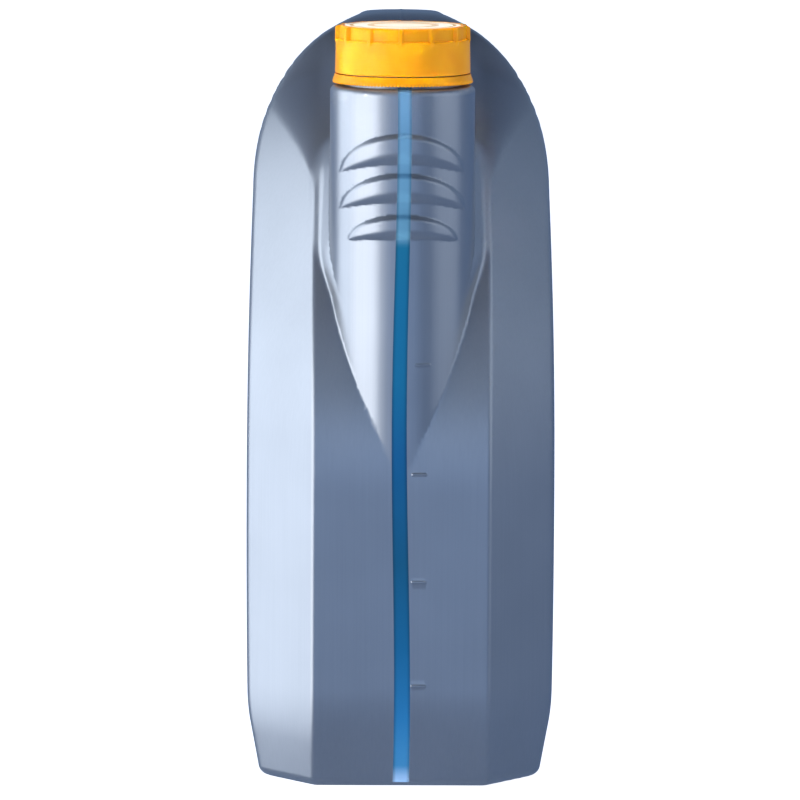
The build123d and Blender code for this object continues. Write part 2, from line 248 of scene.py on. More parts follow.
def front_skin(y, z):
    """Distance outside the front face, its bevel and the hood, which runs out level behind the crest."""
    lean_y, lean_z = crest_y - upper_y, crest_z - upper_z
    before_crest = lean_y * (z - upper_z) - lean_z * (y - upper_y) > 0
    before_bend = (lower_y - y) * sin(BEND) > (z - HOOD_START) * cos(BEND)
    lower = np.hypot(y - lower_y, z - HOOD_START) - LOWER_RADIUS
    upper = np.hypot(y - upper_y, z - upper_z) - upper_radius
    crest = np.hypot(np.minimum(y - crest_y, 0), np.maximum(z - crest_z, 0)) - REAR_ROUND
    hood = np.where(before_bend, lower, np.where(before_crest, upper, crest))
    skin = np.where(z < HOOD_START, FRONT - y, hood)
    bevel = (BEVEL_TOP * (FRONT - y) + BEVEL_RUN * (BEVEL_TOP - z)) / np.hypot(BEVEL_TOP, BEVEL_RUN)
    return meet(skin, bevel, BEVEL_EASE)


def forward_lean(y, z):
    """How far the front skin faces forward: 1 on the upright face, less up the hood, 0 at the crest."""
    lower = (lower_y - y) / np.maximum(np.hypot(y - lower_y, z - HOOD_START), 1)
    upper = (upper_y - y) / np.maximum(np.hypot(y - upper_y, z - upper_z), 1)
    before_bend = (lower_y - y) * sin(BEND) > (z - HOOD_START) * cos(BEND)
    return np.where(z < HOOD_START, 1, np.clip(np.where(before_bend, lower, upper), 0, 1))


def arch_skin(across, z):
    """Distance outside the arch that the sides turn into."""
    along, up = across / ARCH_HALF_WIDTH, np.maximum(z - ARCH_BASE, 0) / ARCH_RISE
    share = np.maximum(along**ARCH_POWER + up**ARCH_POWER, 1e-6) ** (1 / ARCH_POWER)
    slope = share ** (1 - ARCH_POWER) * np.hypot(
        along ** (ARCH_POWER - 1) / ARCH_HALF_WIDTH, up ** (ARCH_POWER - 1) / ARCH_RISE
    )
    return (share - 1) / np.maximum(slope, 1e-4)


CREASE_EASE, SIDE_EASE, WAIST_EASE, BACK_EASE, CORNER_EASE = 1.1, 1.8, 1.2, 2.5, 2.0
CREASE_FADE = 24.0  # the front's creases fade out towards the crest: over these heights, depths and widths
FADE_UP, FADE_BACK, FADE_ACROSS = (246, 296), (36, 12), (4, 36)
FOOT_HALF_WIDTH, FOOT_HALF_DEPTH, FOOT_CORNER = 42, 73, 26  # the hollow under the base, inside its rim
FOOT_HOLLOW, FOOT_EASE = 2.0, 0.8


def body_skin(x, y, z):
    """Distance outside the jug's body, without its column or its grip."""
    across = np.abs(x)
    shear = CHAMFER_SLOPE * (across - FACE_HALF_WIDTH)
    steep = forward_lean(y - shear, z)
    chamfer = front_skin(y - shear, z) / np.sqrt(1 + (CHAMFER_SLOPE * steep) ** 2)
    fading = ramp(*FADE_UP, z) * ramp(*FADE_BACK, y) * ramp(*FADE_ACROSS, across)
    skin = meet(front_skin(y, z), chamfer, CREASE_EASE + CREASE_FADE * fading)

    bowed = half_width - (z - WIDEST_AT) ** 2 / (2 * side_radius)
    tapered = bevel_half_width - (BEVEL_TOP - z) * (bevel_half_width - BASE_HALF_WIDTH) / BEVEL_TOP
    side = np.where(z > ARCH_BASE, arch_skin(across, z), meet(across - bowed, across - tapered, WAIST_EASE))
    skin = meet(skin, side, SIDE_EASE)

    rear_bevel = (BEVEL_TOP * (y - rear) + BEVEL_RUN * (BEVEL_TOP - z)) / np.hypot(BEVEL_TOP, BEVEL_RUN)
    back = meet(y - rear, rear_bevel, BEVEL_EASE)
    rear_round = np.hypot(np.maximum(y - crest_y, 0), np.maximum(z - crest_z, 0)) - REAR_ROUND
    back = np.where(z < crest_z, back, rear_round)
    corner = meet_round(across - half_width - 1, y - rear, CORNER_ROUND)
    skin = meet(meet(skin, back, BACK_EASE), corner, CORNER_EASE)
    skin = meet_round(skin, -z, BASE_ROUND)
    hollow = meet_round(across - FOOT_HALF_WIDTH, np.abs(y) - FOOT_HALF_DEPTH, FOOT_CORNER)
    return meet(skin, -np.maximum(hollow, z - FOOT_HOLLOW), FOOT_EASE)


GRIP_HALF_WIDTH = 21  # the pockets go in to here from both sides
POCKET_FRONT, POCKET_FLOOR, POCKET_SHOULDER = 14.0, 206.0, 271
POCKET_SLANT = (30, 46)  # the front of a pocket leans back by this run and rise above its shoulder
POCKET_LOW_ROUND, POCKET_HIGH_ROUND, POCKET_BED_ROUND = 30.0, 40.0, 8.0
POCKET_SLOPE = radians(22)  # its walls open outwards
HOLE_Y, HOLE_FOOT, HOLE_HEAD, HOLE_RADIUS = 45, 226, 272, 17  # the finger hole through the grip


def pocket_space(x, y, z):
    """Distance outside the pockets beside the grip; negative in the open air that they hold."""
    back, up = POCKET_SLANT
    low_corner = meet_round(POCKET_FRONT - y, POCKET_FLOOR - z, POCKET_LOW_ROUND)
    leaning = ((y - POCKET_FRONT) * -up + (z - POCKET_SHOULDER) * back) / np.hypot(up, back)
    outline = meet_round(low_corner, leaning, POCKET_HIGH_ROUND)
    wall = (outline - (np.abs(x) - GRIP_HALF_WIDTH) * np.tan(POCKET_SLOPE)) * np.cos(POCKET_SLOPE)
    return meet_round(wall, GRIP_HALF_WIDTH - np.abs(x), POCKET_BED_ROUND)


def hole_space(y, z):
    """Distance outside the finger hole."""
    return np.hypot(y - HOLE_Y, z - np.clip(z, HOLE_FOOT, HOLE_HEAD)) - HOLE_RADIUS


# The litre marks are given by their middle across and their height.
LITRE_MARKS = [(7.5, 43.5), (7.5, 87.3), (7.5, 132.5), (8.8, 178.4)]
# Each gill's half width, the heights of its tips and its crown, and how high its lower edge curves up.
GILLS = [(26.4, 257.3, 275.0, 262.4), (26.4, 242.2, 258.6, 246.5), (23.1, 229.6, 241.4, 231.2)]
GILL_CREST, GILL_SETTLE = 2.1, 0.3
GILL_STEEPNESS, GILL_FALL_SHARE, GILL_EASE = 1.15, 0.42, 0.9
MARK_HALF_LENGTH, MARK_RISE, MARK_EDGE = 2.6, 0.35, (0.85, 0.1)


def arc_height(x, half, tip, crown):
    """Height over x of the arc through two tips and a crown."""
    sag = crown - tip
    radius = (half**2 + sag**2) / (2 * sag)
    return crown - radius + np.sqrt(np.maximum(radius**2 - x**2, 1e-6))


def gill_rise(x, z):
    """How far the three crescent gills stand off the column."""
    total = 0.0
    for half, tip, crown, lower_edge in GILLS:
        inside = np.maximum(1 - (x / half) ** 2, 1e-4)
        top = tip + (crown - tip) * np.sqrt(inside)
        lean = (crown - tip) * x / half**2 / np.sqrt(inside)
        low = arc_height(x, half, tip, lower_edge) - 0.5
        crest = GILL_CREST * inside**0.4
        falling = np.maximum(GILL_FALL_SHARE * (top - low), 1.0)
        fall = crest * (1 - np.clip(1 - (z - low) / falling, 0, 3) ** 2)
        climb = (top - z) * GILL_STEEPNESS / np.hypot(1, lean)
        ridge = np.where(np.abs(x) < half, -meet(-climb, -fall, GILL_EASE), 0) - GILL_SETTLE
        total = np.maximum(total, meet(ridge, 0, GILL_SETTLE) * (np.abs(x) < half))
    return total


def mark_rise(x, z):
    """How far the litre marks stand off the front."""
    total = np.zeros(np.broadcast(x, z).shape)
    for middle, level in LITRE_MARKS:
        nearest = np.clip(x, middle - MARK_HALF_LENGTH, middle + MARK_HALF_LENGTH)
        total = np.maximum(total, MARK_RISE * ramp(*MARK_EDGE, np.hypot(x - nearest, z - level)))
    return total


COLUMN_RADIUS, COLUMN_TOP, COLUMN_LIP, COLUMN_FOOT = 30.3, 293.0, 2.5, 110.0
COLUMN_SHARE = 0.9  # the column's field against the body's, which sets how they blend
WEB_REACH, WEB_FOOT, WEB_HEAD = 22, (206, 236), (290, 262)  # a web fills the gap behind the column
SWELL, SWELL_FOOT, SWELL_HEAD = 5.0, (202, 228), (292, 250)  # it spreads where it grows out of the hood
SWELL_DEPTH, SWELL_MOST = 7, 1.6
FLARE_EASE, FLARE_MORE, FLARE_HEIGHTS, FLARE_LEAST = 1.4, 1.6, (198, 262), 0.1
POCKET_EASE, BED_EASE, BED_WIDTHS = 4, 3, (36, 24)
HOLE_REACH, HOLE_EASE = 30, 8.2
LABEL_Y, LABEL_Z, LABEL_HALF_DEPTH, LABEL_HALF_HEIGHT = 8, 110, 51.5, 60.5  # the side labels' panels
LABEL_CORNER, LABEL_SUNK, LABEL_EDGE, LABEL_FROM = 9.5, 0.45, (0.8, -0.8), 45
SEAM_RISE, SEAM_WIDTH = 0.16, 0.5  # the mould's parting line, over the top and down the back
WELL_RADIUS, WELL_BELOW_OIL = 21.8, 5  # the bore of the neck, open down to the oil


def jug_field(x, y, z):
    """Distance outside the whole jug, in millimetres."""
    skin = body_skin(x, y, z)
    from_axis = np.hypot(x, y - column_y)
    web = WEB_REACH * ramp(*WEB_FOOT, z) * ramp(*WEB_HEAD, z)
    from_spine = np.hypot(x, y - np.clip(y, column_y, column_y + web))
    swell = SWELL * ramp(*SWELL_FOOT, z) * ramp(*SWELL_HEAD, z)
    swell = swell * np.clip(1 - skin / SWELL_DEPTH, 0, SWELL_MOST)
    column = meet_round(COLUMN_SHARE * (from_spine - COLUMN_RADIUS - swell), z - COLUMN_TOP, COLUMN_LIP)
    column = np.maximum(column, COLUMN_FOOT - z)
    alike = forward_lean(y, z) * (column_y - y) / np.maximum(from_axis, 1)
    flare = (FLARE_EASE + FLARE_MORE * ramp(*FLARE_HEIGHTS, z)) * np.clip(1 - alike, FLARE_LEAST, 2)
    skin = -meet(-skin, -column, flare)
    skin = skin - np.where(y < column_y, gill_rise(x, z) + mark_rise(x, z), 0)

    across = np.abs(x)
    skin = meet(skin, -pocket_space(x, y, z), POCKET_EASE + BED_EASE * ramp(*BED_WIDTHS, across))
    skin = meet(skin, -np.maximum(hole_space(y, z), across - HOLE_REACH), HOLE_EASE)

    off_y, off_z = np.abs(y - LABEL_Y) - LABEL_HALF_DEPTH, np.abs(z - LABEL_Z) - LABEL_HALF_HEIGHT
    panel = meet_round(off_y, off_z, LABEL_CORNER)
    skin = skin + LABEL_SUNK * ramp(*LABEL_EDGE, panel) * (across > LABEL_FROM)

    skin = skin - SEAM_RISE * np.exp(-((x / SEAM_WIDTH) ** 2)) * (y > column_y + COLUMN_RADIUS)
    return np.maximum(skin, -np.maximum(from_axis - WELL_RADIUS, oil_level - WELL_BELOW_OIL - z))


def spaced(*stretches):
    """Grid lines over stretches, each given as start, end and spacing."""
    lines = [np.linspace(a, b, max(1, round((b - a) / gap)), endpoint=False) for a, b, gap in stretches]
    return np.append(np.concatenate(lines), stretches[-1][1])


def net_surface(field, lines):
    """Points and quads of a field's zero surface, one point to each grid cell that it passes through."""
    value = field(*np.meshgrid(*lines, indexing="ij", sparse=True))
    shape = value.shape
    quads, corners, crossings = [], [], []
    for axis in range(3):
        along = np.moveaxis(value, axis, 0)
        starts = np.argwhere((along[:-1] < 0) != (along[1:] < 0))
        before = along[tuple(starts.T)]
        after = along[tuple((starts + (1, 0, 0)).T)]
        share = before / (before - after)
        order = [axis] + [other for other in range(3) if other != axis]
        spot = np.empty((len(starts), 3), int)
        spot[:, order] = starts
        place = np.stack([lines[n][spot[:, n]] for n in range(3)], axis=1)
        gap = lines[axis][spot[:, axis] + 1] - lines[axis][spot[:, axis]]
        place[:, axis] += share * gap
        second, third = (axis + 1) % 3, (axis + 2) % 3
        around = []
        for back_second, back_third in ((1, 1), (0, 1), (0, 0), (1, 0)):
            cell = spot.copy()
            cell[:, second] -= back_second
            cell[:, third] -= back_third
            around.append(np.ravel_multi_index(cell.T, shape))
        around = np.stack(around, axis=1)
        quads.append(np.where((before < 0)[:, None], around, around[:, ::-1]))
        corners.append(around.ravel())
        crossings.append(np.repeat(place, 4, axis=0))
    names, numbers = np.unique(np.concatenate(corners), return_inverse=True)
    crossings = np.concatenate(crossings)
    share = np.bincount(numbers)
    points = np.stack([np.bincount(numbers, crossings[:, n]) / share for n in range(3)], axis=1)
    return points, np.searchsorted(names, np.concatenate(quads))


def field_slope(field, points, step=0.04):
    """The field's gradient at points."""
    sides = []
    for axis in range(3):
        shift = np.zeros(3)
        shift[axis] = step
        ahead, behind = (points + shift).T, (points - shift).T
        sides.append((field(*ahead) - field(*behind)) / (2 * step))
    return np.stack(sides, axis=1)


def add_mesh(name, points, faces, normals=None):
    """A mesh object from points in millimetres, shaded smooth or by the normals given."""
    mesh = bpy.data.meshes.new(name)
    mesh.from_pydata((np.asarray(points) * MM).tolist(), [], [list(map(int, face)) for face in faces])
    mesh.polygons.foreach_set("use_smooth", [True] * len(mesh.polygons))
    if normals is not None:
        mesh.normals_split_custom_set_from_vertices(normals.tolist())
    piece = bpy.data.objects.new(name, mesh)
    bpy.context.scene.collection.objects.link(piece)
    return piece


def beside(edges, steps):
    """Extra grid lines at steps from each edge, where a small form needs them."""
    return [edge + step for edge in edges for step in steps]


# The grid's lines stand closer where the form is finer: at the creases, gills, marks and label panels.
right_lines = spaced(
    (0, 0.9, 0.45), (0.9, 20, 1.5), (20, 33, 0.95), (33, 41, 1.0), (41, 57, 4.0), (57, 66.6, 1.6)
)
mark_ends = [3.8, 4.2, 4.6, 10.4, 10.8, 11.2, 11.7, 12.1]
across_lines = np.unique(np.concatenate([-right_lines[:0:-1], right_lines, mark_ends]))
PANEL_STEPS, MARK_STEPS = (-0.9, -0.3, 0.3, 0.9), (-1, -0.6, -0.2, 0.2, 0.6, 1)
back_lines = spaced(
    (-96.4, -86, 0.9), (-86, -56, 2.5), (-56, -16, 1.9), (-16, 8, 3.4), (8, 75, 2.6), (75, 96.6, 2.0)
)
panel_sides = [LABEL_Y - LABEL_HALF_DEPTH, LABEL_Y + LABEL_HALF_DEPTH]
back_lines = np.unique(np.append(back_lines, beside(panel_sides, PANEL_STEPS)))
up_lines = spaced(
    (-1, 7, 0.8), (7, 22, 7), (22, 44, 3.5), (44, 128, 9), (128, 152, 2.4), (152, 204, 3.0),
    (204, 226, 2.0), (226, 277, 0.9), (277, 318.4, 2.0),
)
panel_ends = [LABEL_Z - LABEL_HALF_HEIGHT, LABEL_Z + LABEL_HALF_HEIGHT]
panel_lines = beside(panel_ends, PANEL_STEPS) + [53, 57, 163, 167]
mark_lines = beside([level for _, level in LITRE_MARKS], MARK_STEPS)
up_lines = np.unique(np.append(up_lines, mark_lines + panel_lines))

NET_PASSES, NET_STEP = 5, 0.6  # the net's points are drawn onto the surface in a few short steps
points, quads = net_surface(jug_field, (across_lines, back_lines, up_lines))
for _ in range(NET_PASSES):
    slope = field_slope(jug_field, points)
    step = jug_field(*points.T)[:, None] * slope / np.maximum((slope**2).sum(axis=1, keepdims=True), 0.05)
    points -= np.clip(step, -NET_STEP, NET_STEP)
points[:, 2] = np.maximum(points[:, 2], 0)
slope = field_slope(jug_field, points)
normals = slope / np.maximum(np.linalg.norm(slope, axis=1, keepdims=True), 1e-6)
jug_shell = add_mesh("jug_shell", points, quads, normals)
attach(jug_shell, "jug")
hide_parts("bottle")

# The jug's plastic is polyethylene with a pearl pigment: satin, with a soft metallic sheen and fine upright
# lines drawn by the die. The level stripe is clear tinted polyethylene, drawn out in the same wall, so it
# shows the dark fill up to the oil's level and looks milky where there is only air behind it; the pale blue
# at its foot is painted light.
FLAKE_RELIEF = 0.5  # the flakes' height against the drawn lines'
PEARL_METAL = 0.78  # the pearl's sheen, which the clear stripe doesn't have
STRIPE_SWING = 0.85  # how far the stripe wanders to each side
STRIPE_WAVE, STRIPE_CROSSES = 240.0, 215
STRIPE_OFFSET = -0.1
STRIPE_HALF_WIDTHS = (3.45, 2.85)  # at the foot and at the top
STRIPE_HEIGHTS = (20.0, 290.0)
STRIPE_FOOT, STRIPE_BLUR = 2.0, 0.2
STRIPE_EDGE, STRIPE_EDGE_SHADE = 1.5, 0.62  # the stripe is darker along its edges
STREAK_WIDTH, STREAK_LENGTH, CLOUD_SIZE = 0.8, 90, 45
SATIN, SATIN_SWING = 0.29, 0.06  # the roughness, and how far the drawn lines change it
GRAIN = 0.35  # drawn coarser than the real pearl flakes, which are too fine to show
FILL_HEIGHT = 300
FILL_AND_PAINTED_LIGHT_STOPS = [
    (4, "93B8DE"), (9, "347FB0"), (30, "1C72A8"), (60, "03608F"), (95, "00547A"), (141, "00588A"),
    (171, "006892"), (204, "006A94"), (228, "0A6C90"), (231, "5D93AE"), (290, "6C9CBE"),
]  # heights up the jug: painted light at the foot, the fill up to its level, and the milky plastic over it

pearl, tree, shader = new_material("pearl_polyethylene")
place = add_node(tree, "ShaderNodeTexCoord").outputs["Object"]
in_mm = add_node(tree, "ShaderNodeVectorMath", {"operation": "SCALE"}, Vector=place, Scale=1 / MM).outputs[0]
axes = add_node(tree, "ShaderNodeSeparateXYZ", Vector=in_mm)
turn = add_node(
    tree, "ShaderNodeMath", {"operation": "MULTIPLY_ADD"},
    in0=axes.outputs["Z"], in1=2 * pi / STRIPE_WAVE, in2=-2 * pi * STRIPE_CROSSES / STRIPE_WAVE,
)
swing = add_node(tree, "ShaderNodeMath", {"operation": "SINE"}, in0=turn.outputs[0])
middle = add_node(
    tree, "ShaderNodeMath", {"operation": "MULTIPLY_ADD"},
    in0=swing.outputs[0], in1=STRIPE_SWING, in2=STRIPE_OFFSET,
)
beside_middle = add_node(
    tree, "ShaderNodeMath", {"operation": "SUBTRACT"}, in0=axes.outputs["X"], in1=middle.outputs[0]
)
off_middle = add_node(tree, "ShaderNodeMath", {"operation": "ABSOLUTE"}, in0=beside_middle.outputs[0])
stripe_half = add_node(
    tree, "ShaderNodeMapRange", in0=axes.outputs["Z"], in1=STRIPE_HEIGHTS[0], in2=STRIPE_HEIGHTS[1],
    in3=STRIPE_HALF_WIDTHS[0], in4=STRIPE_HALF_WIDTHS[1],
)
from_edge = add_node(
    tree, "ShaderNodeMath", {"operation": "SUBTRACT"}, in0=off_middle.outputs[0], in1=stripe_half.outputs[0]
).outputs[0]
on_front = add_node(tree, "ShaderNodeMath", {"operation": "LESS_THAN"}, in0=axes.outputs["Y"], in1=column_y)
above_foot = add_node(
    tree, "ShaderNodeMath", {"operation": "GREATER_THAN"}, in0=axes.outputs["Z"], in1=STRIPE_FOOT
)
in_reach = add_node(
    tree, "ShaderNodeMath", {"operation": "MULTIPLY"}, in0=on_front.outputs[0], in1=above_foot.outputs[0]
)
edge_share = add_node(
    tree, "ShaderNodeMapRange", {"interpolation_type": "SMOOTHSTEP"},
    in0=from_edge, in1=STRIPE_BLUR, in2=-STRIPE_BLUR, in3=0.0, in4=1.0,
)
stripe = add_node(
    tree, "ShaderNodeMath", {"operation": "MULTIPLY"}, in0=edge_share.outputs[0], in1=in_reach.outputs[0]
).outputs[0]

depth = add_node(
    tree, "ShaderNodeMapRange", in0=axes.outputs["Z"], in1=0.0, in2=float(FILL_HEIGHT), in3=0.0, in4=1.0
)
fill_and_painted_light_stops = [(level / FILL_HEIGHT, colour) for level, colour in FILL_AND_PAINTED_LIGHT_STOPS]
# The stripe's colour is painted by height, and its pale foot is painted light.
fill = add_node(tree, "ShaderNodeValToRGB", stops=fill_and_painted_light_stops, Fac=depth.outputs[0])
edge_dark = add_node(
    tree, "ShaderNodeMapRange", {"interpolation_type": "SMOOTHSTEP"},
    in0=from_edge, in1=-STRIPE_EDGE, in2=-STRIPE_BLUR, in3=1.0, in4=STRIPE_EDGE_SHADE,
)
stripe_colour = add_node(
    tree, "ShaderNodeVectorMath", {"operation": "SCALE"},
    Vector=fill.outputs["Color"], Scale=edge_dark.outputs[0],
)

drawn = add_node(
    tree, "ShaderNodeMapping", Vector=in_mm, Scale=(1 / STREAK_WIDTH, 1 / STREAK_WIDTH, 1 / STREAK_LENGTH)
)
streaks = add_node(tree, "ShaderNodeTexNoise", Vector=drawn.outputs[0], Scale=1.0, Detail=3.0, Roughness=0.6)
cloud = add_node(tree, "ShaderNodeTexNoise", Vector=in_mm, Scale=1 / CLOUD_SIZE, Detail=2.0)
flakes = add_node(tree, "ShaderNodeTexNoise", Vector=in_mm, Scale=1 / GRAIN, Detail=1.0)
streak_tone = add_node(
    tree, "ShaderNodeMapRange", in0=streaks.outputs[0], in1=0.3, in2=0.7, in3=0.97, in4=1.02
)
cloud_tone = add_node(tree, "ShaderNodeMapRange", in0=cloud.outputs[0], in1=0.3, in2=0.7, in3=0.96, in4=1.03)
tone = add_node(
    tree, "ShaderNodeMath", {"operation": "MULTIPLY"}, in0=streak_tone.outputs[0], in1=cloud_tone.outputs[0]
)
toned = add_node(
    tree, "ShaderNodeVectorMath", {"operation": "SCALE"}, Vector=linear("A4A7AB"), Scale=tone.outputs[0]
)
skin_colour = add_node(
    tree, "ShaderNodeMix", {"data_type": "RGBA"},
    in0=stripe, in6=toned.outputs[0], in7=stripe_colour.outputs[0],
)
tree.links.new(skin_colour.outputs[2], shader.inputs["Base Color"])
metal = add_node(
    tree, "ShaderNodeMath", {"operation": "MULTIPLY_ADD"}, in0=stripe, in1=-PEARL_METAL, in2=PEARL_METAL
)
tree.links.new(metal.outputs[0], shader.inputs["Metallic"])
rough = add_node(
    tree, "ShaderNodeMath", {"operation": "MULTIPLY_ADD"}, in0=streaks.outputs[0], in1=SATIN_SWING, in2=SATIN
)
tree.links.new(rough.outputs[0], shader.inputs["Roughness"])
relief = add_node(
    tree, "ShaderNodeMath", {"operation": "MULTIPLY_ADD"},
    in0=flakes.outputs[0], in1=FLAKE_RELIEF, in2=streaks.outputs[0],
)
bump = add_node(tree, "ShaderNodeBump", Strength=0.12, Distance=0.03 * MM, Height=relief.outputs[0])
tree.links.new(bump.outputs[0], shader.inputs["Normal"])
shader.inputs["IOR"].default_value = 1.51
shader.inputs["Specular IOR Level"].default_value = 0.2
jug_shell.data.materials.append(pearl)

# ---------------------------------------------------------------------------------------------------
# The neck finish. It is the moulded end of the same jug: a short tube with a bead that holds the tamper
# band down, and a two-start thread whose ridges fade in and out over a few millimetres.
# ---------------------------------------------------------------------------------------------------
NECK_RADIUS, NECK_BORE, NECK_TOP = 24.4, 21.8, 314.5
NECK_SUNK = 6  # the tube starts this far under the column's top
NECK_STEPS = 144
BEAD_RADIUS, BEAD_FOOT, BEAD_TOP = 26.1, 298.4, 300.2
THREAD_LEAD, THREAD_STARTS, THREAD_DEPTH, THREAD_WIDTH = 12.0, 2, 1.5, 2.0
THREAD_ROOT = 0.2  # a ridge starts this far inside its wall
THREAD_FADE = 0.08  # the share of a ridge that it takes to rise or fall at each end
THREAD_LEAST = 0.4  # the share of its width that is left at the very ends
NECK_THREAD_FOOT, NECK_THREAD_TURNS = 302.4, 0.75


def ring_mesh(rings, closed=False):
    """Points and faces between rings of as many points each; a ring of one point closes an end."""
    points, starts = [], []
    for ring in rings:
        starts.append(len(points))
        points.extend(ring)
    sizes = [len(ring) for ring in rings]
    faces = []
    pairs = [(n, n + 1) for n in range(len(rings) - 1)] + ([(len(rings) - 1, 0)] if closed else [])
    for lower, upper in pairs:
        around = max(sizes[lower], sizes[upper])
        for n in range(around):
            after = (n + 1) % around
            corners = [
                starts[lower] + n % sizes[lower],
                starts[lower] + after % sizes[lower],
                starts[upper] + after % sizes[upper],
                starts[upper] + n % sizes[upper],
            ]
            faces.append([c for at, c in enumerate(corners) if c not in corners[:at]])
    return points, faces


def turned_rings(profile, steps, reach=None):
    """Rings about the column's axis for (radius, height) pairs; reach may change a radius on its way."""
    rings = []
    for radius, level in profile:
        if radius == 0:
            rings.append([(0.0, column_y, level)])
            continue
        ring = []
        for n in range(steps):
            angle = 2 * pi * n / steps
            r, h = reach(radius, level, angle) if reach else (radius, level)
            ring.append((r * cos(angle), column_y + r * sin(angle), h))
        rings.append(ring)
    return rings


def thread_ridge(radius, depth, start, turns, first_angle, steps=90):
    """A thread's ridge on a wall, tapering to nothing at both ends; depth is negative inside a wall."""
    root = -THREAD_ROOT if depth > 0 else THREAD_ROOT
    rings = []
    for n in range(steps + 1):
        share = n / steps
        angle = first_angle + 2 * pi * turns * share
        level = start + THREAD_LEAD * turns * share
        from_end = min(share, 1 - share)
        swell = sin(pi * from_end / (2 * THREAD_FADE)) if from_end < THREAD_FADE else 1
        half = THREAD_WIDTH / 2 * (THREAD_LEAST + (1 - THREAD_LEAST) * swell)
        crest = root + (depth - root) * swell
        # The section has sloping flanks and a narrow rounded crest.
        section = [(root, -half), (crest * 0.8 + root * 0.2, -half * 0.72), (crest, -half * 0.35)]
        section += [(r, -z) for r, z in reversed(section)]
        ring = []
        for r, z in section:
            ring.append(((radius + r) * cos(angle), column_y + (radius + r) * sin(angle), level + z))
        rings.append(ring if depth > 0 else ring[::-1])
    points, faces = ring_mesh(rings)
    size = len(rings[0])
    faces.append(list(range(size))[::-1])
    faces.append(list(range(len(points) - size, len(points))))
    return points, faces


def joined(*shells):
    """One list of points and one of faces from several closed shells."""
    points, faces = [], []
    for shell_points, shell_faces in shells:
        faces.extend([[corner + len(points) for corner in face] for face in shell_faces])
        points.extend(shell_points)
    return points, faces


def crisp(piece, degrees=35):
    """Keeps the edges sharper than an angle crisp on a smooth-shaded piece."""
    piece.data.set_sharp_from_angle(angle=radians(degrees))
    return piece


tube = [
    (NECK_BORE, COLUMN_TOP - NECK_SUNK), (NECK_RADIUS, COLUMN_TOP - NECK_SUNK),
    (NECK_RADIUS, COLUMN_TOP + 0.4), (NECK_RADIUS, BEAD_FOOT - 0.6), (NECK_RADIUS + 0.5, BEAD_FOOT),
    (BEAD_RADIUS - 0.4, BEAD_FOOT), (BEAD_RADIUS, BEAD_FOOT + 0.4), (BEAD_RADIUS, BEAD_FOOT + 0.9),
    (BEAD_RADIUS - 0.5, BEAD_TOP - 0.3), (NECK_RADIUS + 0.3, BEAD_TOP), (NECK_RADIUS, BEAD_TOP + 0.5),
    (NECK_RADIUS, NECK_TOP - 0.8), (NECK_RADIUS - 0.25, NECK_TOP - 0.25), (NECK_RADIUS - 0.8, NECK_TOP),
    (NECK_BORE + 0.6, NECK_TOP), (NECK_BORE + 0.15, NECK_TOP - 0.15), (NECK_BORE, NECK_TOP - 0.6),
]
thread_angles = [2 * pi * start / THREAD_STARTS for start in range(THREAD_STARTS)]
neck_shells = [ring_mesh(turned_rings(tube, NECK_STEPS), closed=True)]
for angle in thread_angles:
    neck_shells.append(thread_ridge(NECK_RADIUS, THREAD_DEPTH, NECK_THREAD_FOOT, NECK_THREAD_TURNS, angle))
neck_finish = crisp(add_mesh("neck_finish", *joined(*neck_shells)))
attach(neck_finish, "jug")
neck_finish.data.materials.append(pearl)

# ---------------------------------------------------------------------------------------------------
# The oil. It fills the jug up to its level, clear and tinted, and shows through the open neck. It is a
# liquid, poured in once the jug is blown, and its colour has only the faintest swirl.
# ---------------------------------------------------------------------------------------------------
OIL_STOPS = [(0.0, "0B4B73"), (1.0, "11618F")]
SWIRL_SCALE = 30.0  # swirls of about 33 mm
# Its still surface is as smooth as a mirror, and a little light passes through it.
oil_finish, tree, shader = new_material("tinted_oil")
place = add_node(tree, "ShaderNodeTexCoord").outputs["Object"]
swirl = add_node(tree, "ShaderNodeTexNoise", Vector=place, Scale=SWIRL_SCALE, Detail=2.0)
oil_colour = add_node(tree, "ShaderNodeValToRGB", stops=OIL_STOPS, Fac=swirl.outputs[0])
tree.links.new(oil_colour.outputs[0], shader.inputs["Base Color"])
shader.inputs["Roughness"].default_value = 0.04
shader.inputs["IOR"].default_value = 1.47
shader.inputs["Transmission Weight"].default_value = 0.3
nodes["oil"].data.materials.clear()
nodes["oil"].data.materials.append(oil_finish)

# ---------------------------------------------------------------------------------------------------
# The screw cap. It is injection moulded from amber polypropylene: a smooth skirt, thirteen grip ribs
# over recessed panels, a flat top with a seat for its label, and a two-start thread inside.
# ---------------------------------------------------------------------------------------------------
CAP_TOP, CAP_FOOT, CAP_RADIUS, CAP_INSIDE, CAP_PLATE = 318.0, 298.2, 28.3, 26.5, 1.9
SKIRT_DRAFT = 0.3  # how far the skirt draws in up to the panels
PANEL_FOOT, PANEL_DEPTH = 312.4, 1.25
RIBS, RIB_RISE, RIB_TAIL, RIB_HALF_WIDTH = 13, 0.45, 2.4, 0.75
RIB_EDGE = (RIB_HALF_WIDTH + 0.35, RIB_HALF_WIDTH - 0.2)
TOP_ROUND = 0.8
FIRST_RIB = radians(-92.3)
STEPS_A_RIB = 40
PANEL_EDGE = (PANEL_FOOT - 0.3, PANEL_FOOT + 0.15)  # the step from the skirt into a panel
RIB_GROWTH = (PANEL_FOOT - RIB_TAIL, PANEL_FOOT - 0.3)  # where a rib runs out into the skirt
SHARP_FROM = 50  # degrees; softer edges than this are shaded smooth
CAP_THREAD_FOOT, CAP_THREAD_TURNS = 305.4, 0.6
SKIN_DEPTH, SKIN_CLEAR = 3.2, 0.05  # only the rings this near the outside take ribs and panels


